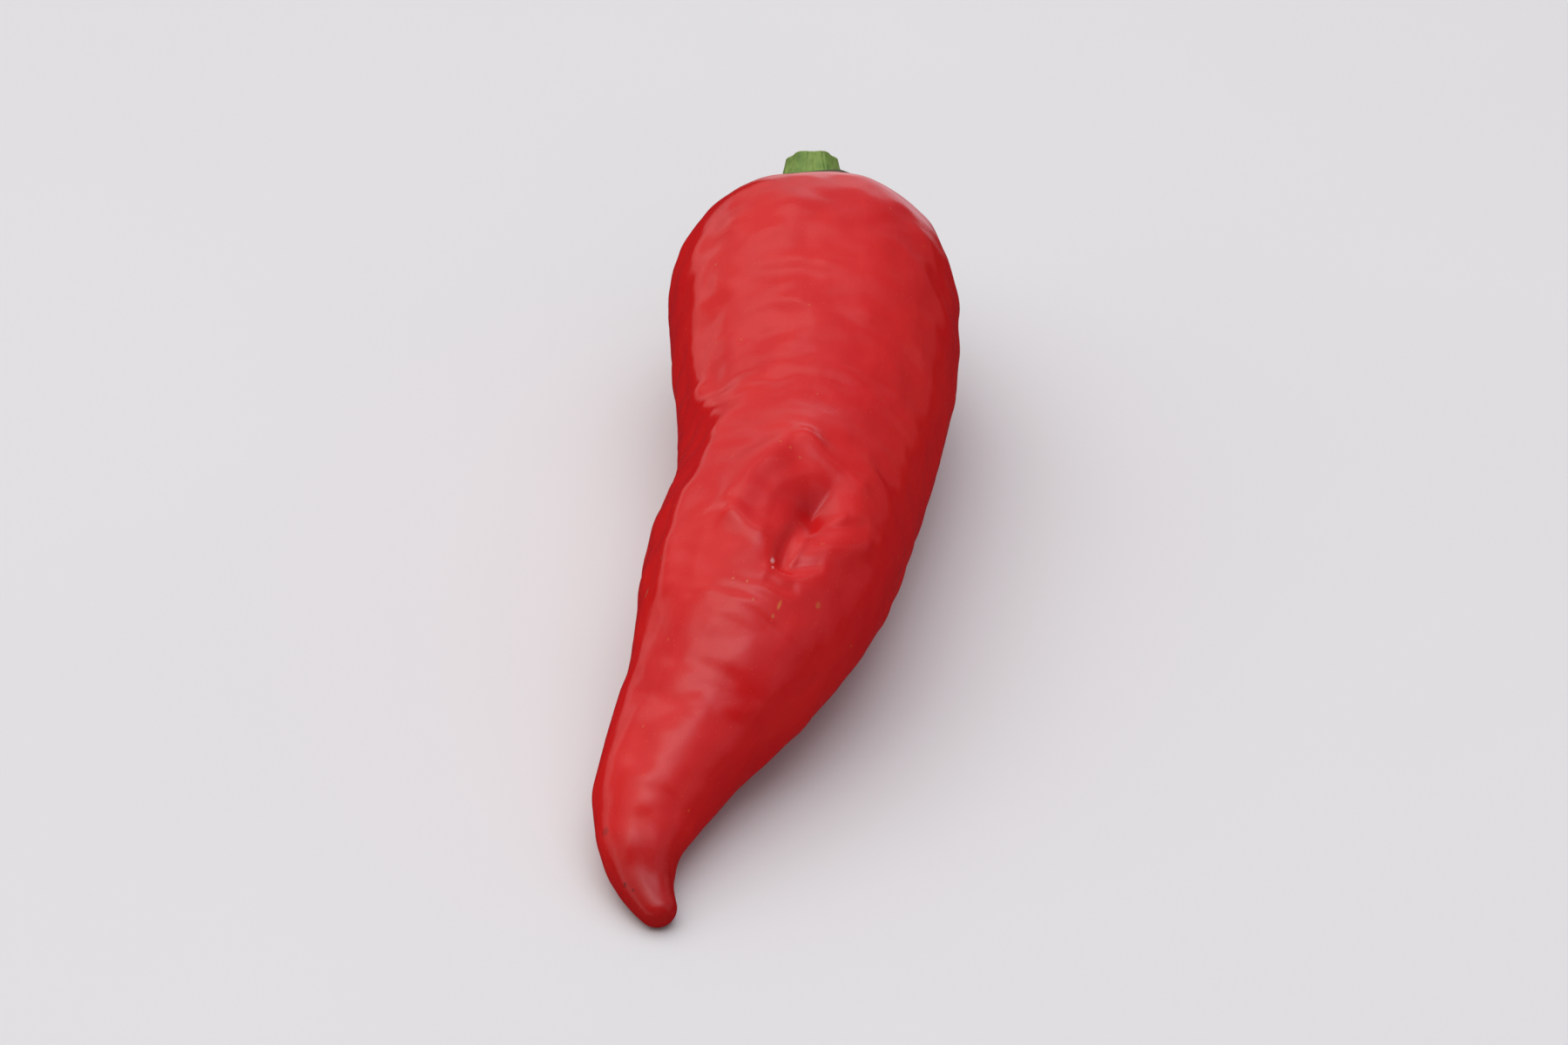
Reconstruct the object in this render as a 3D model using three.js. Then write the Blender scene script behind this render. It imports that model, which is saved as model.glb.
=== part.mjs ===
import * as THREE from "three";

// A pointed sweet pepper lying on its side, in millimetres, with +Z up.
// Its tip points along -Y, its stem along +Y, and it lies on the plane z = 0.

// Fruit
const FRUIT_LENGTH = 142; // from the shoulder's end to the end of the tip, along Y
const HALF_WIDTH = 22.2; // of the shoulder, the widest place
const HEIGHT_SHARE = 0.955; // every section is this much lower than it is wide
const SHOULDER_DEPTH = 0.15 * FRUIT_LENGTH;
const SHOULDER_POWER = 2.35; // 2 would make the shoulder an ellipse, more makes it squarer
const SEAT_DEPTH = 2.2; // of the hollow under the calyx
const SEAT_RADIUS = 8;
const FURROW_DEPTH = 0.9; // of the furrow along the top, between the fruit's two lobes
const FURROW_HALF_ANGLE = 0.42;
const FURROW_END = 0.42; // share of the length where the furrow has faded

// Calyx and stem
const CALYX_GAP = 0.35; // clear space between the calyx and the skin
const CALYX_RADIUS = 13.3;
const CALYX_RIM = 1.1; // thickness of the rim
const CALYX_CURL = 0.5; // how far the rim bends up off the skin
const CALYX_RISE = 3.4; // of the cone, from the rim up to the foot of the stem
const LOBES = 6;
const LOBE_START = 1.88; // angle of one lobe's tip, near the top
const LOBE_SHARE = 0.055; // how far the lobes reach out and draw in, as a share of the radius
const KNOBS = 11; // low swellings in a ring round the foot of the stem
const KNOB_HEIGHT = 0.45;
const STEM_FOOT_RADIUS = 7.2;
const STEM_NECK_RADIUS = 3.6;
const STEM_END_RADIUS = 3.75;
const STEM_LENGTH = 9.6;
const STEM_BEND = 2.9; // how far its end has risen
const STEM_RIDGE_SHARE = 0.07;

// Fineness of the surfaces
const FRUIT_SECTORS = 52;
const SHOULDER_RINGS = 12;
const BODY_RINGS = 60;
const TIP_RINGS = 4;
const CALYX_SECTORS = 48;
const UNDERSIDE_RINGS = 7;
const CONE_RINGS = 9;
const STEM_RINGS = 7;

// The fruit's course from the shoulder to the tip. "along" is a share of the length.
// "right", "width" and "gap" are shares of the widest half width: how far the middle lies to
// the right, half the width, and the space under the belly.
const STATIONS = [
  { along: 0.15, right: 0.235, width: 1.0, gap: 0.0 },
  { along: 0.24, right: 0.24, width: 0.975, gap: -0.045 },
  { along: 0.33, right: 0.215, width: 0.91, gap: -0.05 },
  { along: 0.415, right: 0.16, width: 0.85, gap: -0.025 },
  { along: 0.5, right: 0.065, width: 0.833, gap: 0.018 },
  { along: 0.58, right: -0.05, width: 0.82, gap: 0.043 },
  { along: 0.65, right: -0.175, width: 0.755, gap: 0.053 },
  { along: 0.72, right: -0.35, width: 0.635, gap: 0.045 },
  { along: 0.79, right: -0.575, width: 0.5, gap: 0.027 },
  { along: 0.855, right: -0.765, width: 0.402, gap: 0.014 },
  { along: 0.91, right: -0.85, width: 0.297, gap: -0.002 },
  { along: 0.955, right: -0.825, width: 0.192, gap: -0.012 },
  { along: 0.9875, right: -0.735, width: 0.122, gap: -0.014 },
];
const TIP_SLOPE = 0.3; // how steeply the skin already draws in where the round end starts, in radians

// Dents (depth above 0) and swellings (below 0) of the skin. "along" is a share of the length,
// "angle" goes over the top from the left side, and the depths and half sizes, along the fruit and
// to the left and the right, are in millimetres. A power of 1 makes a plain bell, and less gives it
// straighter sides.
const DENTS = [
  { along: 0.592, angle: 2.06, half: 4.8, left: 5.4, right: 2.8, depth: 4.2, power: 0.75 },
  { along: 0.636, angle: 1.95, half: 2.8, left: 1.8, right: 1.8, depth: 0.9, power: 1 },
  { along: 0.652, angle: 2.04, half: 2.2, left: 3.0, right: 3.0, depth: 1.2, power: 1 },
  { along: 0.575, angle: 1.75, half: 13, left: 13, right: 13, depth: -0.4, power: 1 },
  { along: 0.5, angle: 0.25, half: 8, left: 7, right: 7, depth: 0.4, power: 1 },
  { along: 0.953, angle: 1.55, half: 4.5, left: 1.3, right: 1.3, depth: 0.35, power: 1 },
];

const Z_AXIS = new THREE.Vector3(0, 0, 1);
const QUARTER = Math.PI / 2;

const course = new THREE.SplineCurve(
  STATIONS.map((s) => new THREE.Vector2(s.right * HALF_WIDTH, s.along * FRUIT_LENGTH)),
);
const girth = new THREE.SplineCurve(
  STATIONS.map((s) => new THREE.Vector2(s.width * HALF_WIDTH, s.gap * HALF_WIDTH)),
);

function bell(distance, halfLength) {
  return Math.exp(-((distance / halfLength) ** 2));
}

// Shortest way round from one angle to another.
function turn(from, to) {
  return Math.atan2(Math.sin(to - from), Math.cos(to - from));
}

function middle(t) {
  const { x: right, y: along } = course.getPoint(t);
  const { x: width, y: gap } = girth.getPoint(t);
  return new THREE.Vector3(right, -along, gap + width * HEIGHT_SHARE);
}

// One section of the fruit: its middle, its three directions and its half width.
function sectionAt(t) {
  const step = 1e-3;
  const before = middle(Math.max(t - step, 0));
  const after = middle(Math.min(t + step, 1));
  const ahead = after.sub(before).normalize();
  const left = ahead.clone().cross(Z_AXIS).normalize();
  return {
    middle: middle(t),
    ahead,
    left,
    up: left.clone().cross(ahead),
    width: girth.getPoint(t).x,
    share: course.getPoint(t).y / FRUIT_LENGTH,
  };
}

function furrow(share, angle) {
  const fade = 1 - THREE.MathUtils.smoothstep(share, STATIONS[0].along, FURROW_END);
  return FURROW_DEPTH * fade * bell(turn(QUARTER, angle), FURROW_HALF_ANGLE);
}

function dents(section, angle) {
  const depthOf = (dent) => {
    const along = (section.share - dent.along) * FRUIT_LENGTH;
    const across = turn(dent.angle, angle) * section.width;
    const halfAcross = across < 0 ? dent.left : dent.right;
    const off = (along / dent.half) ** 2 + (across / halfAcross) ** 2;
    return dent.depth * Math.exp(-(off ** dent.power));
  };
  return DENTS.reduce((sum, dent) => sum + depthOf(dent), 0);
}

// A point of a section's rim. "reach" is a share of the rim's radius, and "forward" moves it
// towards the tip. Nothing reaches below z = 0: the belly and the tip are flat where they lie.
function fruitPoint(section, angle, reach, forward) {
  const lowered = furrow(section.share, angle) + dents(section, angle);
  const radius = reach * (section.width - lowered);
  const point = section.middle
    .clone()
    .addScaledVector(section.left, radius * Math.cos(angle))
    .addScaledVector(section.up, radius * Math.sin(angle) * HEIGHT_SHARE)
    .addScaledVector(section.ahead, forward);
  point.z = Math.max(point.z, 0);
  return point;
}

// A point of the shoulder, which closes the fruit's thick end round the seat of the calyx.
function shoulderPoint(section, angle, reach) {
  const dome = SHOULDER_DEPTH * (1 - reach ** SHOULDER_POWER) ** (1 / SHOULDER_POWER);
  const seat = SEAT_DEPTH * bell(reach * section.width, SEAT_RADIUS);
  return fruitPoint(section, angle, reach, seat - dome);
}

function anglesOf(sectors) {
  return Array.from({ length: sectors }, (_, i) => (i / sectors) * 2 * Math.PI);
}

function ringOf(sectors, pointAt) {
  return anglesOf(sectors).map(pointAt);
}

// Closed surface through rings of equal length, with a single point at either end.
function skinOver(first, rings, last) {
  const sectors = rings[0].length;
  const points = [first, ...rings.flat(), last];
  const index = [];
  const at = (ring, sector) => 1 + ring * sectors + (sector % sectors);
  for (let j = 0; j < sectors; j++) {
    index.push(0, at(0, j), at(0, j + 1));
    for (let i = 0; i + 1 < rings.length; i++) {
      index.push(at(i, j), at(i + 1, j), at(i + 1, j + 1));
      index.push(at(i, j), at(i + 1, j + 1), at(i, j + 1));
    }
    index.push(at(rings.length - 1, j), points.length - 1, at(rings.length - 1, j + 1));
  }
  const geometry = new THREE.BufferGeometry().setFromPoints(points);
  geometry.setIndex(index);
  geometry.computeVertexNormals();
  return geometry;
}

function fruitGeometry() {
  const shoulder = sectionAt(0);
  const tip = sectionAt(1);
  const rings = [];
  for (let i = 1; i < SHOULDER_RINGS; i++) {
    const reach = Math.sin((i / SHOULDER_RINGS) * QUARTER) ** (2 / SHOULDER_POWER);
    rings.push(ringOf(FRUIT_SECTORS, (angle) => shoulderPoint(shoulder, angle, reach)));
  }
  for (let i = 0; i <= BODY_RINGS; i++) {
    const section = sectionAt(i / BODY_RINGS);
    rings.push(ringOf(FRUIT_SECTORS, (angle) => fruitPoint(section, angle, 1, 0)));
  }
  const tipRadius = tip.width / Math.cos(TIP_SLOPE);
  const tipForward = (round) => tipRadius * (Math.sin(round) - Math.sin(TIP_SLOPE));
  for (let i = 1; i < TIP_RINGS; i++) {
    const round = THREE.MathUtils.lerp(TIP_SLOPE, QUARTER, i / TIP_RINGS);
    const reach = Math.cos(round) / Math.cos(TIP_SLOPE);
    rings.push(
      ringOf(FRUIT_SECTORS, (angle) => fruitPoint(tip, angle, reach, tipForward(round))),
    );
  }
  return skinOver(shoulderPoint(shoulder, 0, 0), rings, fruitPoint(tip, 0, 0, tipForward(QUARTER)));
}

// How far the calyx reaches out at an angle: pointed lobes that are not quite alike.
function calyxRadius(angle) {
  const round = angle - LOBE_START;
  const swayed = round + 0.1 * Math.sin(round);
  const lobe = 1 - 2 * Math.abs(Math.sin((swayed * LOBES) / 2));
  const uneven = 0.025 * Math.sin(angle - 2.4) + 0.02 * Math.sin(2 * angle + 2);
  return CALYX_RADIUS * (1 + LOBE_SHARE * lobe + uneven);
}

// A point of the calyx at a share of the way from its middle to its rim, at some height above
// its underside.
function calyxPoint(shoulder, angle, share, height) {
  const reach = (share * calyxRadius(angle)) / shoulder.width;
  const lift = CALYX_GAP + CALYX_CURL * share ** 6 + height;
  return shoulderPoint(shoulder, angle, reach).addScaledVector(shoulder.ahead, -lift);
}

// Thickness of the calyx between the foot of the stem and the rim.
function coneHeight(angle, share) {
  const foot = STEM_FOOT_RADIUS / CALYX_RADIUS;
  const climb = (1 - share) / (1 - foot);
  const knobs = KNOB_HEIGHT * bell(share - foot - 0.12, 0.1) * Math.cos(KNOBS * angle);
  return CALYX_RIM + CALYX_RISE * climb ** 1.2 + knobs;
}

// A point of the stem's side at a share of its height, with its ridges and its slow bend.
function stemPoint(shoulder, foot, angle, share, reach) {
  const neck = THREE.MathUtils.lerp(STEM_FOOT_RADIUS, STEM_NECK_RADIUS, share ** 0.8);
  const flare = (STEM_END_RADIUS - STEM_NECK_RADIUS) * share ** 4;
  const ridges = 1 + STEM_RIDGE_SHARE * share * Math.cos(LOBES * angle);
  const radius = reach * (neck + flare) * ridges;
  const lean = (share * 2 * STEM_BEND) / STEM_LENGTH;
  const sideways = radius * Math.cos(angle);
  const upwards = radius * Math.sin(angle) * HEIGHT_SHARE;
  return foot
    .clone()
    .addScaledVector(shoulder.left, sideways)
    .addScaledVector(shoulder.up, upwards + STEM_BEND * share ** 2)
    .addScaledVector(shoulder.ahead, upwards * lean - STEM_LENGTH * share);
}

function calyxAndStemGeometry() {
  const shoulder = sectionAt(0);
  const ring = (pointAt) => ringOf(CALYX_SECTORS, pointAt);
  const footShare = STEM_FOOT_RADIUS / CALYX_RADIUS;
  const foot = calyxPoint(shoulder, 0, 0, 0).addScaledVector(
    shoulder.ahead,
    -(CALYX_RIM + CALYX_RISE),
  );
  const rings = [];
  // Cut end of the stem, a little hollow
  rings.push(ring((angle) => stemPoint(shoulder, foot, angle, 0.95, 0.45)));
  rings.push(ring((angle) => stemPoint(shoulder, foot, angle, 0.99, 0.86)));
  for (let i = STEM_RINGS; i > 0; i--) {
    rings.push(ring((angle) => stemPoint(shoulder, foot, angle, i / STEM_RINGS, 1)));
  }
  for (let i = 0; i <= CONE_RINGS; i++) {
    const share = THREE.MathUtils.lerp(footShare, 1, i / CONE_RINGS);
    rings.push(ring((angle) => calyxPoint(shoulder, angle, share, coneHeight(angle, share))));
  }
  rings.push(ring((angle) => calyxPoint(shoulder, angle, 1.02, CALYX_RIM / 2)));
  for (let i = UNDERSIDE_RINGS; i > 0; i--) {
    const share = i / UNDERSIDE_RINGS;
    rings.push(ring((angle) => calyxPoint(shoulder, angle, share, 0)));
  }
  const cutEnd = stemPoint(shoulder, foot, 0, 0.94, 0);
  return skinOver(cutEnd, rings, calyxPoint(shoulder, 0, 0, 0));
}

const fruit = new THREE.Mesh(
  fruitGeometry(),
  new THREE.MeshStandardMaterial({ color: "#b81d1c", roughness: 0.32, metalness: 0 }),
);
fruit.name = "fruit";

const calyxAndStem = new THREE.Mesh(
  calyxAndStemGeometry(),
  new THREE.MeshStandardMaterial({ color: "#5c7836", roughness: 0.6, metalness: 0 }),
);
calyxAndStem.name = "calyx_and_stem";

// The origin is under the middle of the whole pepper.
const pepper = new THREE.Group();
pepper.add(fruit, calyxAndStem);
const reach = new THREE.Box3().setFromObject(pepper);
const centre = reach.getCenter(new THREE.Vector3());
for (const mesh of pepper.children) {
  mesh.geometry.translate(-centre.x, -centre.y, -reach.min.z);
}

export default pepper;
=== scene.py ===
"""A pointed sweet pepper lying on a pale floor: fine skin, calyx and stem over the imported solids."""

import math

import bpy
import numpy as np
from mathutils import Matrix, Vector, noise


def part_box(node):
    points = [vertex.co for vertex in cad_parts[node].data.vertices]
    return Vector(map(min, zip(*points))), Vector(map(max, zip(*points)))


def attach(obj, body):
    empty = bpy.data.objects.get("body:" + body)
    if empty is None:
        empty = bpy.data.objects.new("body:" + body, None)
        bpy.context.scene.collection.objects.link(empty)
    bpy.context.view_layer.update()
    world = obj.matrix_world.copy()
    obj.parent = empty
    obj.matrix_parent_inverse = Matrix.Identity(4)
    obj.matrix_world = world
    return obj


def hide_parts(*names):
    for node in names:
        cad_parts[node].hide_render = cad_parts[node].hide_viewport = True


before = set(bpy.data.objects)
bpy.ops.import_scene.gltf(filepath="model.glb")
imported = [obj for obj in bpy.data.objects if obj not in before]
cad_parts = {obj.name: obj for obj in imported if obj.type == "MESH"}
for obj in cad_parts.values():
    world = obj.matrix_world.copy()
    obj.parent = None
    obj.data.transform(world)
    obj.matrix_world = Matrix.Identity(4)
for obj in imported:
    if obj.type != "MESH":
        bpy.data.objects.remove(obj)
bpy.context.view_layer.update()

MM = 0.001  # forms are worked out in millimetres, as the solids are, and made in metres

# Fruit, in millimetres
FRUIT_LENGTH = 142
HALF_WIDTH = 22.2
HEIGHT_SHARE = 0.955
SHOULDER_DEPTH = 0.15 * FRUIT_LENGTH
SHOULDER_POWER = 2.35
SEAT_DEPTH = 2.2
SEAT_RADIUS = 8
FURROW_DEPTH = 0.9
FURROW_HALF_ANGLE = 0.42
FURROW_END = 0.42

# Calyx and stem, in millimetres
CALYX_GAP = 0.35
CALYX_RADIUS = 13.3
CALYX_RIM = 1.1
CALYX_CURL = 0.5
CALYX_RISE = 3.4
LOBES = 6
LOBE_START = 1.88
LOBE_SHARE = 0.055
KNOBS = 11
KNOB_HEIGHT = 0.45
STEM_FOOT_RADIUS = 7.2
STEM_NECK_RADIUS = 3.6
STEM_END_RADIUS = 3.75
STEM_LENGTH = 9.6
STEM_BEND = 2.9
STEM_RIDGE_SHARE = 0.07

# Along the fruit: share of its length, and as shares of the widest half width how far the middle
# lies to the right, half the width, and the space under the belly.
STATIONS = [
    (0.15, 0.235, 1.0, 0.0),
    (0.24, 0.24, 0.975, -0.045),
    (0.33, 0.215, 0.91, -0.05),
    (0.415, 0.16, 0.85, -0.025),
    (0.5, 0.065, 0.833, 0.018),
    (0.58, -0.05, 0.82, 0.043),
    (0.65, -0.175, 0.755, 0.053),
    (0.72, -0.35, 0.635, 0.045),
    (0.79, -0.575, 0.5, 0.027),
    (0.855, -0.765, 0.402, 0.014),
    (0.91, -0.85, 0.297, -0.002),
    (0.955, -0.825, 0.192, -0.012),
    (0.9875, -0.735, 0.122, -0.014),
]
TIP_SLOPE = 0.3  # how steeply the skin already draws in where the round end starts, in radians

# Share of the length, angle over the top from the left side, half length, half widths to the left
# and to the right of the dent, its depth, which is below 0 where the skin swells, and its power:
# 1 makes it a plain bell, less gives it straighter sides.
DENTS = [
    (0.592, 2.06, 4.8, 5.4, 2.8, 4.2, 0.75),
    (0.636, 1.95, 2.8, 1.8, 1.8, 0.9, 1),
    (0.652, 2.04, 2.2, 3.0, 3.0, 1.2, 1),
    (0.575, 1.75, 13, 13, 13, -0.4, 1),
    (0.5, 0.25, 8, 7, 7, 0.4, 1),
    (0.953, 1.55, 4.5, 1.3, 1.3, 0.35, 1),
]

# Folds round the dimple and down the left side. A route's points are millimetres towards the tip
# and to the right of the dimple's middle. Then come the fold's half width and its height, which is
# below 0 in a crease.
DIMPLE_SHARE = 0.61
DIMPLE_ANGLE = 1.85
FOLDS = [
    (
        [(2.2, -8.4), (-1, -7.8), (-4, -7.2), (-6.4, -6), (-8.6, -5.2), (-10.8, -4.2), (-12.2, -2.4)],
        2.8,
        1.1,
    ),
    ([(-12.2, -2), (-10.4, 1), (-9.4, 4.4), (-9, 8)], 1.6, 0.5),
    ([(1.4, -3.6), (-1.4, -3.8), (-3.6, -3), (-5.4, -1.6), (-6.6, 0.6), (-6, 3.2)], 1.2, 0.3),
    ([(2.6, -7.6), (3.6, -5.4), (4.0, -3.2)], 1.4, 0.7),
    ([(1.5, 1.6), (4.0, 0.7), (6.3, 1.2)], 1.2, -0.3),
    ([(5.6, 3.2), (4.0, 3.2), (2.4, 3.4), (1.0, 4.6), (-1.2, 6.0), (-3.0, 7.6)], 0.7, 0.35),
    ([(6.4, 2.0), (6.3, 3.6), (5.7, 5.2), (4.9, 6.8)], 0.9, -0.4),
    ([(8.0, 0.2), (7.9, 2.4), (7.4, 4.0), (6.6, 5.6), (5.0, 7.2)], 0.9, 0.2),
    ([(9.0, 1.2), (9.4, 3.0), (8.8, 4.6)], 0.9, -0.25),
    ([(-0.6, 6.8), (-3.6, 10.8)], 1.0, -0.2),
    ([(1.8, 7.4), (0.8, 10), (-1.4, 12.6)], 1.8, 0.55),
    ([(-66, -27), (-52, -27.6), (-43, -27), (-33, -24)], 2.4, 0.25),
    ([(-33, -24), (-20, -17.8), (-11, -16), (-5, -16.8), (0, -18), (6, -17.3), (12, -14.5)], 2.3, 0.6),
    ([(-25, -12), (-21, -14), (-16, -16)], 2.2, 0.35),
    ([(-31.5, -1), (-30, 4), (-29.2, 8), (-28.8, 12), (-28.8, 16)], 3.4, 0.5),
]

# Low swellings of the skin: share of the length, angle, half length, half width and height.
SWELLINGS = [
    (0.13, 1.44, 3.2, 3.6, 0.7),
    (0.165, 1.4, 5, 7, 0.6),
    (0.172, 1.22, 2.2, 3.2, 0.4),
    (0.172, 1.7, 2.0, 2.4, 0.38),
    (0.222, 1.39, 1.8, 4.5, 0.4),
    (0.232, 1.66, 1.6, 1.8, 0.28),
    (0.259, 1.42, 1.1, 4.8, 0.18),
    (0.286, 1.43, 1.9, 3.8, 0.42),
    (0.294, 1.99, 2.2, 2.2, 0.35),
    (0.43, 1.0, 4.0, 3.0, 0.15),
    (0.508, 1.56, 2.8, 2.6, 0.3),
    (0.575, 2.38, 3.2, 2.4, 0.3),
    (0.69, 1.45, 7, 8, 0.4),
    (0.715, 1.75, 3, 4, 0.3),
    (0.74, 2.5, 8, 5, 0.5),
    (0.825, 1.85, 3.2, 3.4, 0.35),
    (0.87, 1.3, 2.6, 2.6, 0.2),
    (0.9, 1.55, 1.8, 3.2, 0.2),
]

# Bands of ripples across the fruit: where along it, and at what angle, their half length and half
# angle, the pitch and the height.
RIPPLES = [
    (37, 1.45, 7.5, 0.5, 5.1, 0.03),
    (99, 2.0, 4, 0.5, 2.6, 0.05),
    (106, 1.75, 7, 0.45, 3.4, 0.04),
    (124, 1.6, 6, 0.5, 3.6, 0.03),
    (62, 2.3, 7, 0.35, 4.2, 0.03),
]

# Irregular waves of the skin: their sizes across, along and in depth, a seed and the height
WRINKLES = [
    ((9, 12, 9), 5, 0.3),
    ((6, 4.5, 6), 3, 0.35),
    ((2.8, 2.2, 2.8), 6, 0.08),
    ((5, 1.6, 5), 4, 0.008),
]
CALM_TIP = (0.93, 0.975)  # shares of the length between which the wrinkles fade out

# Fineness of the surfaces. The rings and the sectors lie closer together round the dimple: the
# place and the half width of the crowd, as shares of all, and how much denser it is.
FRUIT_SECTORS = 248
SHOULDER_RINGS = 56
BODY_RINGS = 300
TIP_RINGS = 22
CALYX_SECTORS = 336
STEM_RINGS = 60
CONE_RINGS = 64
UNDERSIDE_RINGS = 24
RIM_RINGS = 8
CUT_RINGS = 26
RING_CROWD = (0.46, 0.16, 1.6)
SECTOR_CROWD = (0.3, 0.17, 1.3)

# Camera and floor, in metres
EYE = (0.002, -0.673, 0.5115)
AIM = (0.0, -0.004, 0.016)
LENS = 74.2 * 1.75  # the photograph's lens, and longer, as only one pepper is shown
FLOOR_HALF = 4.0


def bell(distance, half_length):
    return np.exp(-((distance / half_length) ** 2))


def turn(start, end):
    """Shortest way round from one angle to another."""
    return np.arctan2(np.sin(end - start), np.cos(end - start))


def smoothstep(x, low, high):
    t = np.clip((x - low) / (high - low), 0, 1)
    return t * t * (3 - 2 * t)


def spline(rows, t):
    """Catmull-Rom curve through the rows, with the end rows doubled."""
    rows = np.asarray(rows, float)
    last = len(rows) - 1
    place = np.asarray(t, float) * last
    start = np.minimum(place.astype(int), last - 1)
    w = (place - start)[..., None]
    before, here = rows[np.maximum(start - 1, 0)], rows[start]
    after, beyond = rows[start + 1], rows[np.minimum(start + 2, last)]
    v0, v1 = (after - before) / 2, (beyond - here) / 2
    cubic = (2 * here - 2 * after + v0 + v1) * w**3
    return cubic + (3 * after - 3 * here - 2 * v0 - v1) * w**2 + v0 * w + here


def course(t):
    """Middle of the fruit, half its width and how far along it is, at t from shoulder to tip."""
    share, right, width, gap = spline(STATIONS, t).T
    width = width * HALF_WIDTH
    along = share * FRUIT_LENGTH
    above = gap * HALF_WIDTH + width * HEIGHT_SHARE
    return np.stack([right * HALF_WIDTH, -along, above], -1), width, along


def unit(vectors):
    return vectors / np.linalg.norm(vectors, axis=-1, keepdims=True)


def sections(t):
    """Middle, ahead, left, up, half width and along of the sections at t, as arrays."""
    step = 1e-3
    middle, width, along = course(t)
    ahead = unit(course(np.minimum(t + step, 1))[0] - course(np.maximum(t - step, 0))[0])
    left = unit(np.cross(ahead, [0, 0, 1]))
    return middle, ahead, left, np.cross(left, ahead), width, along


def waves(points, size, seed):
    """Smooth noise of about -1 to 1 at points in millimetres, with waves of the given sizes."""
    scaled = points.reshape(-1, 3) / np.asarray(size, float) + seed * 17.3
    values = [noise.noise(Vector(p)) for p in scaled.tolist()]
    return np.array(values).reshape(points.shape[:-1])


def crowded(count, middle, half, more):
    """Values from 0 to 1 that lie closer together round the middle."""
    even = np.linspace(0, 1, 2001)
    density = 1 + more * bell(even - middle, half)
    total = np.concatenate([[0], np.cumsum((density[1:] + density[:-1]) / 2)])
    return np.interp(np.linspace(0, 1, count), total / total[-1], even)


def to_route(along, across, route):
    """Distance of each point to a smooth curve through the route's points."""
    route = spline(route, np.linspace(0, 1, 6 * len(route)))
    nearest = np.full(along.shape, 1e9)
    for (a0, c0), (a1, c1) in zip(route, route[1:]):
        da, dc = a1 - a0, c1 - c0
        share = np.clip(((along - a0) * da + (across - c0) * dc) / (da * da + dc * dc), 0, 1)
        nearest = np.minimum(nearest, np.hypot(along - a0 - share * da, across - c0 - share * dc))
    return nearest


def dented(along, angle, width):
    """Height of the furrow, the dents and the swellings, and the share of the main dent."""
    furrow = FURROW_DEPTH * bell(turn(math.pi / 2, angle), FURROW_HALF_ANGLE)
    height = -furrow * (1 - smoothstep(along / FRUIT_LENGTH, STATIONS[0][0], FURROW_END))
    hole = None
    for share, at, half_along, half_left, half_right, depth, power in DENTS:
        across = turn(at, angle) * width
        across = across / np.where(across < 0, half_left, half_right)
        off = ((along - share * FRUIT_LENGTH) / half_along) ** 2 + across**2
        hollow = np.exp(-(off**power))
        hole = hollow if hole is None else hole
        height = height - depth * hollow
    for share, at, half_along, half_across, rise in SWELLINGS:
        across = bell(turn(at, angle) * width, half_across)
        height = height + rise * bell(along - share * FRUIT_LENGTH, half_along) * across
    return height, hole


def folded(along, angle, width, hole):
    """Height of the folds. Only the creases reach into the hole of the main dent."""
    from_dimple = along - DIMPLE_SHARE * FRUIT_LENGTH
    across = turn(DIMPLE_ANGLE, angle) * width
    height = 0
    for route, half, fold in FOLDS:
        kept = 1 - hole if fold > 0 else 1
        height = height + fold * kept * bell(to_route(from_dimple, across, route), half)
    return height


def relief(along, angle, width, straight):
    """How far the skin stands out from its plain section, and the share of the dimple in it."""
    height, hole = dented(along, angle, width)
    height = height + folded(along, angle, width, hole)
    wander = waves(straight, (7, 5, 7), 1)
    for at, side, half_along, half_angle, pitch, ripple in RIPPLES:
        band = bell(along - at, half_along) * bell(turn(side, angle), half_angle)
        height = height + ripple * band * np.sin((along / pitch + 0.6 * wander) * 2 * math.pi)
    share = (1 - hole) * (1 - smoothstep(along / FRUIT_LENGTH, *CALM_TIP))
    for size, seed, wrinkle in WRINKLES:
        height = height + wrinkle * share * waves(straight, size, seed)
    return height, hole


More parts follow.
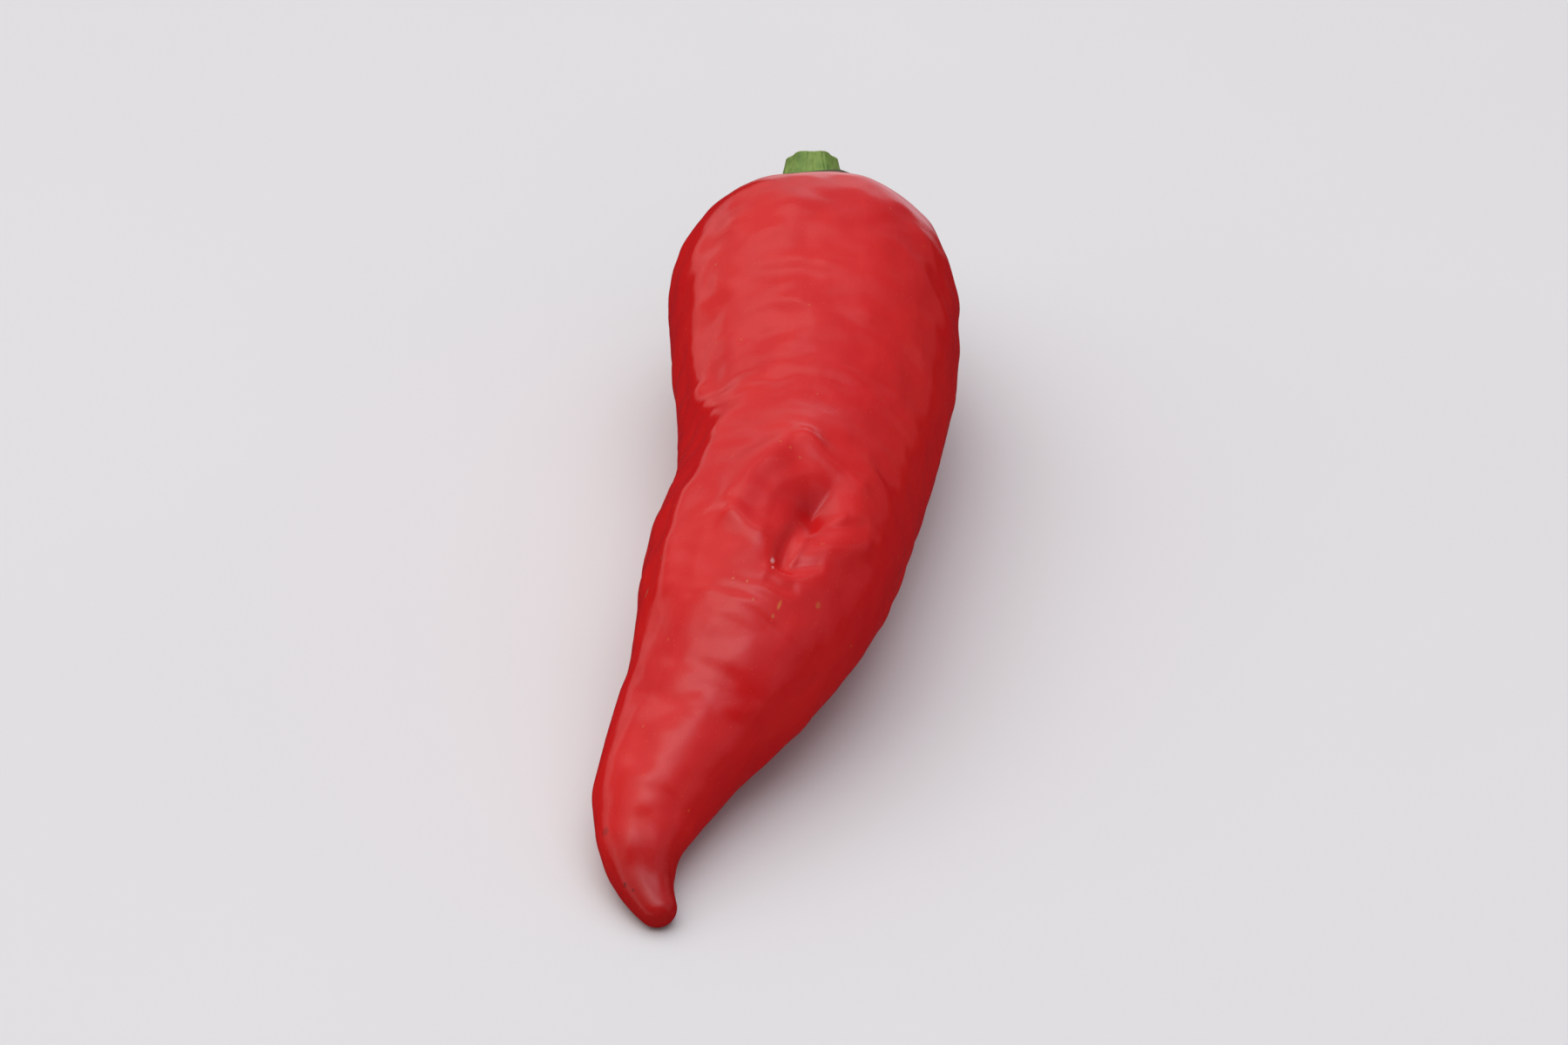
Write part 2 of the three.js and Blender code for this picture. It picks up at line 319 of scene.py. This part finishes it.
def fruit_grid():
    """Points of the skin as rings by sectors, and the same points on a straightened fruit."""
    round_shoulder = np.linspace(0, math.pi / 2, SHOULDER_RINGS + 1)[:-1]
    reach = np.sin(round_shoulder) ** (2 / SHOULDER_POWER)
    width = course(np.zeros(1))[1][0]
    dome = SHOULDER_DEPTH * (1 - reach**SHOULDER_POWER) ** (1 / SHOULDER_POWER)
    shoulder = (reach, SEAT_DEPTH * bell(reach * width, SEAT_RADIUS) - dome, np.zeros(SHOULDER_RINGS))
    t = crowded(BODY_RINGS, *RING_CROWD)
    body = (np.ones(BODY_RINGS), np.zeros(BODY_RINGS), t)
    round_tip = np.linspace(TIP_SLOPE, math.pi / 2, TIP_RINGS + 1)[1:]
    tip_radius = course(np.ones(1))[1][0] / math.cos(TIP_SLOPE)
    tip_forward = tip_radius * (np.sin(round_tip) - math.sin(TIP_SLOPE))
    tip = (np.cos(round_tip) / math.cos(TIP_SLOPE), tip_forward, np.ones(TIP_RINGS))
    reach, forward, t = (np.concatenate(parts)[:, None] for parts in zip(shoulder, body, tip))

    middle, ahead, left, up, width, along = (part[:, None] for part in sections(t[:, 0]))
    angle = 2 * math.pi * crowded(FRUIT_SECTORS + 1, *SECTOR_CROWD)[None, :-1]
    along = along + forward
    plain = reach * width
    straight = np.stack(np.broadcast_arrays(plain * np.cos(angle), along, plain * np.sin(angle)), -1)
    height, hollow = relief(along, angle, width, straight)
    radius = reach * (width + height)
    points = middle + ahead * forward[..., None]
    points = points + left * (radius * np.cos(angle))[..., None]
    points = points + up * (radius * np.sin(angle) * HEIGHT_SHARE)[..., None]
    points[..., 2] = np.maximum(points[..., 2], 0)
    return points, straight, hollow


def skin_mesh(name, grid, shift, attributes):
    """Closed mesh over rings of points, whose first and last rings have shrunk to one point."""
    rings, sectors = grid.shape[:2]
    inner = np.arange((rings - 2) * sectors).reshape(rings - 2, sectors) + 1
    after = np.roll(inner, -1, 1)
    last = (rings - 2) * sectors + 1
    faces = [(0, a, b) for a, b in zip(inner[0], after[0])]
    quads = np.stack([inner[:-1], inner[1:], after[1:], after[:-1]], -1).reshape(-1, 4)
    faces += [tuple(quad) for quad in quads.tolist()]
    faces += [(a, last, b) for a, b in zip(inner[-1], after[-1])]

    def flat(values):
        between = values[1:-1].reshape(-1, *values.shape[2:])
        return np.concatenate([values[0, :1], between, values[-1, :1]])

    mesh = bpy.data.meshes.new(name)
    mesh.from_pydata((flat(grid) + shift) * MM, [], [tuple(map(int, face)) for face in faces])
    for key, values in attributes.items():
        kind, field = ("FLOAT_VECTOR", "vector") if values.ndim == 3 else ("FLOAT", "value")
        layer = mesh.attributes.new(key, kind, "POINT")
        layer.data.foreach_set(field, flat(values).astype(np.float32).ravel())
    mesh.polygons.foreach_set("use_smooth", [True] * len(mesh.polygons))
    piece = bpy.data.objects.new(name, mesh)
    bpy.context.scene.collection.objects.link(piece)
    return piece


def calyx_radius(angle):
    round_calyx = angle - LOBE_START
    swayed = round_calyx + 0.1 * np.sin(round_calyx)
    lobe = 1 - 2 * np.abs(np.sin(swayed * LOBES / 2))
    uneven = 0.025 * np.sin(angle - 2.4) + 0.02 * np.sin(2 * angle + 2)
    return CALYX_RADIUS * (1 + LOBE_SHARE * lobe + uneven)


def shoulder_point(angle, reach, lift):
    """A point of the shoulder's plain form, lifted off it along the fruit."""
    middle, ahead, left, up, width, _ = (part[0] for part in sections(np.zeros(1)))
    dome = SHOULDER_DEPTH * (1 - reach**SHOULDER_POWER) ** (1 / SHOULDER_POWER)
    forward = SEAT_DEPTH * bell(reach * width, SEAT_RADIUS) - dome - lift
    radius = reach * (width - FURROW_DEPTH * bell(turn(math.pi / 2, angle), FURROW_HALF_ANGLE))
    point = middle + ahead * np.asarray(forward)[..., None]
    point = point + left * (radius * np.cos(angle))[..., None]
    return point + up * (radius * np.sin(angle) * HEIGHT_SHARE)[..., None]


def calyx_point(angle, share, height):
    reach = share * calyx_radius(angle) / HALF_WIDTH
    return shoulder_point(angle, reach, CALYX_GAP + CALYX_CURL * share**6 + height)


def cone_height(angle, share):
    foot = STEM_FOOT_RADIUS / CALYX_RADIUS
    climb = (1 - share) / (1 - foot)
    knobs = KNOB_HEIGHT * bell(share - foot - 0.12, 0.1) * np.cos(KNOBS * angle)
    return CALYX_RIM + CALYX_RISE * climb**1.2 + knobs


def stem_point(foot, angle, share, reach):
    _, ahead, left, up, _, _ = (part[0] for part in sections(np.zeros(1)))
    neck = STEM_FOOT_RADIUS + (STEM_NECK_RADIUS - STEM_FOOT_RADIUS) * share**0.8
    flare = (STEM_END_RADIUS - STEM_NECK_RADIUS) * share**4
    ridges = 1 + STEM_RIDGE_SHARE * share * np.cos(LOBES * angle)
    radius = reach * (neck + flare) * ridges
    lean = 2 * share * STEM_BEND / STEM_LENGTH
    upwards = radius * np.sin(angle) * HEIGHT_SHARE
    point = foot + left * (radius * np.cos(angle))[..., None]
    point = point + up * (upwards + STEM_BEND * share**2)[..., None]
    return point + ahead * (upwards * lean - STEM_LENGTH * share)[..., None]


def stem_fibres(angle):
    """Fine lengthwise ribs of the stem, as a share of its radius."""
    ribs = 0.05 * np.sin(angle * 31 + 2 * np.sin(3 * angle)) + 0.04 * np.sin(angle * 53)
    return ribs / STEM_NECK_RADIUS * 0.6


def calyx_veins(angle, share):
    """Height of the ribs that run from the stem's foot to the tips of the lobes."""
    rib = np.abs(np.cos((angle - LOBE_START) * LOBES / 2)) ** 10
    return 0.22 * rib * math.sin(math.pi * min(1, (1 - share) * 1.6))


def calyx_grid():
    """Rings from the cut end of the stem, down its side, over the calyx and in under it."""
    angle = np.linspace(0, 2 * math.pi, CALYX_SECTORS, endpoint=False)
    foot_share = STEM_FOOT_RADIUS / CALYX_RADIUS
    foot = calyx_point(np.zeros(1), 0.0, CALYX_RIM + CALYX_RISE)[0]
    rings, stem, rim, cut = [], [], [], []

    def add(points, stem_share, rim_share, cut_share):
        rings.append(points)
        stem.append(np.full(CALYX_SECTORS, stem_share))
        rim.append(np.full(CALYX_SECTORS, rim_share))
        cut.append(np.full(CALYX_SECTORS, cut_share))

    for reach in np.linspace(0, 0.97, CUT_RINGS):
        hollow = 0.955 + 0.035 * reach**3 + 0.004 * math.sin(reach * 20)
        add(stem_point(foot, angle, np.full(CALYX_SECTORS, hollow), reach), 1, 0, 1)
    for i in range(STEM_RINGS, 0, -1):
        share = i / STEM_RINGS
        points = stem_point(foot, angle, np.full(CALYX_SECTORS, share), 1 + stem_fibres(angle))
        add(points, share, 0, float(i == STEM_RINGS))
    for share in np.linspace(foot_share, 1, CONE_RINGS):
        height = cone_height(angle, share) + calyx_veins(angle, share)
        add(calyx_point(angle, share, height), 0, share**8, 0)
    for i in range(1, RIM_RINGS):
        roll = i / RIM_RINGS * math.pi
        share = 1 + 0.02 * math.sin(roll)
        add(calyx_point(angle, share, CALYX_RIM / 2 * (1 + math.cos(roll))), 0, 1, 0)
    for i in range(UNDERSIDE_RINGS, -1, -1):
        share = i / UNDERSIDE_RINGS
        add(calyx_point(angle, share, 0.0 * angle), 0, share**8, 0)
    return np.array(rings), np.array(stem), np.array(rim), np.array(cut)


class Nodes:
    """Short calls for building one material's or the world's node tree."""

    def __init__(self, tree):
        self.tree = tree
        tree.nodes.clear()

    def add(self, kind, inputs=(), **settings):
        node = self.tree.nodes.new(kind)
        for key, value in settings.items():
            setattr(node, key, value)
        for key, value in dict(inputs).items():
            self.set(node.inputs[key], value)
        return node

    def set(self, socket, value):
        if isinstance(value, bpy.types.NodeSocket):
            self.tree.links.new(value, socket)
        else:
            socket.default_value = value

    def math(self, operation, a, b=0.0, c=0.0):
        node = self.add("ShaderNodeMath", {0: a, 1: b, 2: c}, operation=operation)
        return node.outputs[0]

    def product(self, *factors):
        whole = factors[0]
        for factor in factors[1:]:
            whole = self.math("MULTIPLY", whole, factor)
        return whole

    def vector(self, operation, a, b=(0, 0, 0)):
        node = self.add("ShaderNodeVectorMath", {0: a, 1: b}, operation=operation)
        return node.outputs["Value" if operation in ("LENGTH", "DOT_PRODUCT") else "Vector"]

    def step(self, value, low, high, to_low=0.0, to_high=1.0):
        """Smooth rise of a value between two limits."""
        inputs = {"Value": value, "From Min": low, "From Max": high}
        inputs |= {"To Min": to_low, "To Max": to_high}
        rise = self.add("ShaderNodeMapRange", inputs, interpolation_type="SMOOTHSTEP")
        return rise.outputs["Result"]

    def mix(self, share, a, b):
        node = self.add("ShaderNodeMix", data_type="RGBA")
        colours = [s for s in node.inputs if s.type == "RGBA"]
        self.set(node.inputs[0], share)
        self.set(colours[0], a)
        self.set(colours[1], b)
        return next(s for s in node.outputs if s.type == "RGBA")

    def noise(self, at, scale, detail=2.0, stretch=(1, 1, 1)):
        """Noise of 0 to 1 over coordinates in millimetres, with waves 1 / scale long."""
        stretched = self.vector("MULTIPLY", at, stretch)
        inputs = {"Vector": stretched, "Scale": scale, "Detail": detail, "Roughness": 0.55}
        return self.add("ShaderNodeTexNoise", inputs, noise_dimensions="3D").outputs["Fac"]

    def attribute(self, name, output):
        return self.add("ShaderNodeAttribute", attribute_name=name).outputs[output]


def material(name):
    made = bpy.data.materials.new(name)
    made.use_nodes = True
    return made, Nodes(made.node_tree)


def colour(red, green, blue):
    """Linear colour from sRGB values of 0 to 255."""
    def linear(value):
        value /= 255
        return value / 12.92 if value <= 0.04045 else ((value + 0.055) / 1.055) ** 2.4
    return (linear(red), linear(green), linear(blue), 1)


def straight_place(share, angle):
    """Where a point of the skin lies on the straightened fruit."""
    rows = np.asarray(STATIONS)
    width = np.interp(share, rows[:, 0], rows[:, 2]) * HALF_WIDTH
    return (width * math.cos(angle), share * FRUIT_LENGTH, width * math.sin(angle))


# Single marks on the skin: share of the length, angle, half sizes across, along and in depth, colour
MARKS = [
    ((0.689, 2.11), (0.22, 0.64, 2), colour(196, 120, 46)),
    ((0.7, 2.11), (0.22, 0.28, 2), colour(190, 104, 44)),
    ((0.671, 2.43), (0.3, 0.4, 2), colour(186, 92, 44)),
    ((0.684, 1.62), (0.19, 0.2, 2), colour(205, 105, 60)),
    ((0.683, 1.75), (0.19, 0.24, 2), colour(205, 105, 60)),
    ((0.696, 1.87), (0.17, 0.24, 2), colour(190, 100, 50)),
    ((0.657, 1.87), (0.34, 0.4, 2), colour(232, 178, 176)),
    ((0.663, 1.9), (0.19, 0.24, 2), colour(226, 166, 160)),
    ((0.444, 1.71), (0.17, 0.18, 2), colour(200, 110, 60)),
    ((0.548, 0.96), (0.22, 0.24, 2), colour(150, 60, 40)),
    ((0.193, 0.82), (0.22, 0.24, 2), colour(180, 90, 60)),
    ((0.665, 0.8), (0.15, 0.48, 2), colour(140, 70, 48)),
    ((0.691, 0.59), (0.26, 0.8, 2), colour(150, 92, 60)),
    ((0.961, 0.58), (0.22, 0.24, 2), colour(60, 12, 10)),
    ((0.968, 0.72), (0.19, 0.2, 2), colour(70, 14, 12)),
    ((0.917, 0.66), (0.52, 0.48, 2), colour(140, 26, 20)),
]


def skin_colour(n, at, pore):
    """Red that varies a little in patches, streaks and pores; painted shade darkens the hole and the
    tip.
    """
    slow = n.noise(at, 0.05, 3)
    middling = n.noise(at, 0.16, 3, (1, 0.5, 1))
    streaks = n.noise(at, 0.9, 3, (1, 0.1, 1))
    base = n.mix(n.step(slow, 0.38, 0.62), colour(200, 20, 23), colour(206, 25, 24))
    base = n.mix(n.step(middling, 0.45, 0.7, 0, 0.35), base, colour(192, 15, 20))
    base = n.mix(n.step(streaks, 0.5, 0.75, 0, 0.22), base, colour(214, 36, 30))
    along = n.add("ShaderNodeSeparateXYZ", {0: at}).outputs["Y"]
    # Painted shade: the last tenth of the fruit is darkened towards the tip.
    tip = n.step(along, FRUIT_LENGTH * 0.9, FRUIT_LENGTH * 0.98, 0, 0.5)
    base = n.mix(tip, base, colour(128, 12, 10))
    base = n.mix(n.math("MULTIPLY", pore, 0.3), base, colour(226, 76, 50))
    freckles = n.add("ShaderNodeTexVoronoi", {"Vector": at, "Scale": 0.22}, feature="F1")
    fleck = n.math("MULTIPLY", n.step(freckles.outputs["Distance"], 0.03, 0.06, 1, 0), 0.45)
    base = n.mix(fleck, base, colour(198, 96, 50))
    # Painted shade: the main dent's hole is darkened towards a deep red.
    dimple_shade = n.step(n.attribute("hollow", "Fac"), 0.2, 0.75)
    return n.mix(n.math("MULTIPLY", dimple_shade, 0.75), base, colour(186, 5, 10))


def marked(n, at, base):
    """The colour with its single marks, and where they are."""
    scar = 0.0
    for place, half, tint in MARKS:
        off = n.vector("SUBTRACT", at, straight_place(*place))
        off = n.vector("DIVIDE", off, half)
        edge = n.math("MULTIPLY", n.noise(at, 2.5, 2), 0.6)
        mark = n.step(n.math("ADD", n.vector("LENGTH", off), edge), 0.8, 1.5, 0.55, 0)
        base = n.mix(mark, base, tint)
        scar = n.math("MAXIMUM", scar, mark)
    return base, scar


def skin_material():
    made, n = material("skin")
    at = n.attribute("straight", "Vector")
    cells = n.add("ShaderNodeTexVoronoi", {"Vector": at, "Scale": 0.9}, feature="F1")
    pore = n.step(cells.outputs["Distance"], 0.03, 0.16, 1, 0)
    base, scar = marked(n, at, skin_colour(n, at, pore))
    rough = n.math("MULTIPLY_ADD", n.noise(at, 0.35, 3), 0.12, 0.13)
    rough = n.math("MAXIMUM", rough, n.math("MULTIPLY", scar, 0.6))
    height = n.math("MULTIPLY_ADD", n.noise(at, 4.0, 2), 0.15, n.noise(at, 1.1, 3))
    height = n.math("MULTIPLY_ADD", pore, -0.1, height)
    bump = n.add("ShaderNodeBump", {"Strength": 0.12, "Distance": 0.0002, "Height": height})
    shader = n.add(
        "ShaderNodeBsdfPrincipled",
        {
            "Base Color": base,
            "Roughness": rough,
            "Normal": bump.outputs[0],
            "Subsurface Weight": 0.06,
            "Subsurface Radius": (1.0, 0.12, 0.08),
            "Subsurface Scale": 0.002,
            "Specular IOR Level": 0.5,
        },
    )
    n.add("ShaderNodeOutputMaterial", {"Surface": shader.outputs[0]})
    return made


def green_material():
    made, n = material("green")
    at = n.vector("MULTIPLY", n.add("ShaderNodeTexCoord").outputs["Object"], (1000, 1000, 1000))
    stem = n.attribute("stem", "Fac")
    rim = n.attribute("rim", "Fac")
    cut = n.attribute("cut", "Fac")
    blotches = n.noise(at, 0.35, 3)
    fibres = n.noise(at, 2.2, 3, (1, 0.15, 1))
    calyx = n.mix(n.step(blotches, 0.35, 0.65), colour(62, 84, 40), colour(84, 110, 52))
    stalk = n.mix(n.step(blotches, 0.35, 0.65), colour(98, 128, 52), colour(124, 150, 70))
    base = n.mix(n.step(stem, 0.05, 0.4), calyx, stalk)
    base = n.mix(n.step(fibres, 0.5, 0.72, 0, 0.4), base, colour(60, 82, 36))
    edge = n.math("ADD", rim, n.math("MULTIPLY", n.noise(at, 1.2, 3), 0.5))
    base = n.mix(n.step(edge, 1.05, 1.4, 0, 0.9), base, colour(70, 52, 34))
    pith = n.mix(n.step(n.noise(at, 1.5, 3), 0.4, 0.6), colour(170, 176, 128), colour(140, 148, 96))
    base = n.mix(cut, base, pith)
    height = n.math("MULTIPLY_ADD", blotches, 0.6, fibres)
    bump = n.add("ShaderNodeBump", {"Strength": 0.5, "Distance": 0.0003, "Height": height})
    shader = n.add(
        "ShaderNodeBsdfPrincipled",
        {
            "Base Color": base,
            "Roughness": n.math("MULTIPLY_ADD", blotches, 0.2, 0.42),
            "Normal": bump.outputs[0],
            "Subsurface Weight": 0.08,
            "Subsurface Radius": (0.5, 1.0, 0.2),
            "Subsurface Scale": 0.001,
        },
    )
    n.add("ShaderNodeOutputMaterial", {"Surface": shader.outputs[0]})
    return made


def floor_material():
    made, n = material("floor")
    at = n.add("ShaderNodeTexCoord").outputs["Object"]
    base = n.mix(n.noise(at, 9, 3), colour(213, 211, 212), colour(217, 215, 216))
    shader = n.add("ShaderNodeBsdfPrincipled", {"Base Color": base, "Roughness": 0.75})
    n.add("ShaderNodeOutputMaterial", {"Surface": shader.outputs[0]})
    return made


def make_camera():
    """The photograph's place of view, with a longer lens that frames the one pepper."""
    data = bpy.data.cameras.new("camera")
    data.sensor_width = 36
    data.lens = LENS
    camera = bpy.data.objects.new("camera", data)
    camera.location = EYE
    camera.rotation_mode = "QUATERNION"
    camera.rotation_quaternion = (Vector(AIM) - Vector(EYE)).to_track_quat("-Z", "Y")
    bpy.context.scene.collection.objects.link(camera)
    bpy.context.scene.camera = camera


def make_floor():
    """Plain pale floor. What the skin reflects of it is part of the world instead."""
    mesh = bpy.data.meshes.new("floor")
    half = FLOOR_HALF
    corners = [(-half, -half, 0), (half, -half, 0), (half, half, 0), (-half, half, 0)]
    mesh.from_pydata(corners, [], [(0, 1, 2, 3)])
    floor = bpy.data.objects.new("floor", mesh)
    floor.data.materials.append(floor_material())
    floor.visible_glossy = False
    bpy.context.scene.collection.objects.link(floor)


def upper_half(n, x, y, z):
    """Soft skylight, dimmer towards the walls, with a window, two lamps and a bright far wall."""
    sky = n.product(
        n.step(y, 0.3, 0.62, 1, 0.44),
        n.step(y, -0.62, -0.36, 0.12, 1),
        n.step(x, -0.95, -0.35, 0.45, 1),
        n.step(x, 0.1, 0.8, 1, 0.35),
    )
    gap = n.product(n.step(y, -0.08, 0.06), n.step(y, 0.38, 0.26))
    sky = n.product(sky, n.math("MULTIPLY_ADD", gap, -0.32, 1), n.step(z, 0.0, 0.25, 0.45, 1))
    window = n.product(
        n.step(y, -0.36, -0.22), n.step(y, 0.1, -0.08), n.step(x, -0.6, -0.15), n.step(x, 0.7, 0.0)
    )
    lamp = n.product(
        n.step(y, 0.36, 0.46), n.step(y, 0.74, 0.6), n.step(x, -0.82, -0.6), n.step(x, 0.08, -0.12)
    )
    sky = n.math("MULTIPLY_ADD", window, 0.9, sky)
    sky = n.math("MULTIPLY_ADD", lamp, 0.5, sky)
    low_lamp = n.product(n.step(x, -0.38, -0.52), n.step(z, 0.26, 0.1, 0, 0.5), n.step(z, 0, 0.1))
    wall = n.product(n.step(y, 0.88, 0.98, 0, 0.45), n.step(x, -0.15, 0.25, 0.1, 1))
    return n.product(n.math("ADD", sky, n.math("ADD", low_lamp, wall)), n.step(z, -0.03, 0.03))


def lower_half(n, x, y, z):
    """The pale table at both sides and behind, as far as the pepper doesn't hide it."""
    side = n.product(
        n.step(x, -0.45, -0.25, 0.6, 0.2), n.step(x, 0.2, 0.5, 1, 0.7), n.step(z, -0.13, -0.02)
    )
    aside = n.math("ABSOLUTE", n.math("SUBTRACT", x, 0.2))
    behind = n.product(n.step(aside, 0.2, 0.34, 1, 0), n.step(y, 0.84, 0.9))
    far = n.math("ADD", n.step(z, -0.75, -0.6, 0, 0.3), n.step(z, -0.44, -0.3, 0, 0.45))
    table = n.math("MAXIMUM", side, n.product(behind, far))
    return n.product(table, n.step(z, 0.03, -0.03))


def make_world():
    """Bright room over a pale table, and a faint red from below, thrown back by the pepper."""
    world = bpy.data.worlds.new("world")
    world.use_nodes = True
    n = Nodes(world.node_tree)
    towards = n.add("ShaderNodeTexCoord").outputs["Generated"]
    split = n.add("ShaderNodeSeparateXYZ", {0: towards}).outputs
    x, y, z = split["X"], split["Y"], split["Z"]
    light = n.math("ADD", upper_half(n, x, y, z), lower_half(n, x, y, z))
    tint = n.mix(n.step(x, -0.4, 0.5), (1, 0.98, 0.97, 1), (0.93, 0.97, 1.08, 1))
    room = n.add("ShaderNodeBackground", {"Color": tint, "Strength": light})
    glow = n.step(z, -0.14, -0.36, 0, 0.22)
    red = n.add("ShaderNodeBackground", {"Color": (1, 0.07, 0.09, 1), "Strength": glow})
    both = n.add("ShaderNodeAddShader", {0: room.outputs[0], 1: red.outputs[0]})
    n.add("ShaderNodeOutputWorld", {"Surface": both.outputs[0]})
    bpy.context.scene.world = world


def make_softbox(name, location, size, brightness):
    """Square soft light aimed at the pepper, which lights it but isn't reflected in its skin.

    Its brightness is that of its face.
    """
    data = bpy.data.lights.new(name, "AREA")
    data.shape = "SQUARE"
    data.size = size
    data.energy = brightness * math.pi * size**2
    light = bpy.data.objects.new(name, data)
    light.location = location
    light.rotation_mode = "QUATERNION"
    light.rotation_quaternion = (-Vector(location)).to_track_quat("-Z", "Y")
    light.visible_glossy = False
    bpy.context.scene.collection.objects.link(light)


def dress(piece, node, made):
    piece.data.materials.append(made)
    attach(piece, "root")
    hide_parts(node)


def make_pepper():
    points, straight, hollow = fruit_grid()
    # The fruit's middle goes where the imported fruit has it, and its belly on the floor.
    low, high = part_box("fruit")
    middle = (points.reshape(-1, 3).min(0) + points.reshape(-1, 3).max(0)) / 2
    shift = np.array((low + high) / 2) / MM - middle
    shift[2] = 0
    fruit = skin_mesh("fruit_skin", points, shift, {"straight": straight, "hollow": hollow})
    dress(fruit, "fruit", skin_material())
    rings, stem, rim, cut = calyx_grid()
    calyx = skin_mesh("calyx_with_stem", rings, shift, {"stem": stem, "rim": rim, "cut": cut})
    dress(calyx, "calyx_and_stem", green_material())


bpy.context.scene.view_settings.view_transform = "Standard"
make_camera()
make_floor()
make_world()
make_softbox("overhead", (-0.28, 0.2, 1.3), 2.2, 1.06)
make_softbox("front", (0.3, -0.9, 0.9), 1.0, 0.7)
make_pepper()
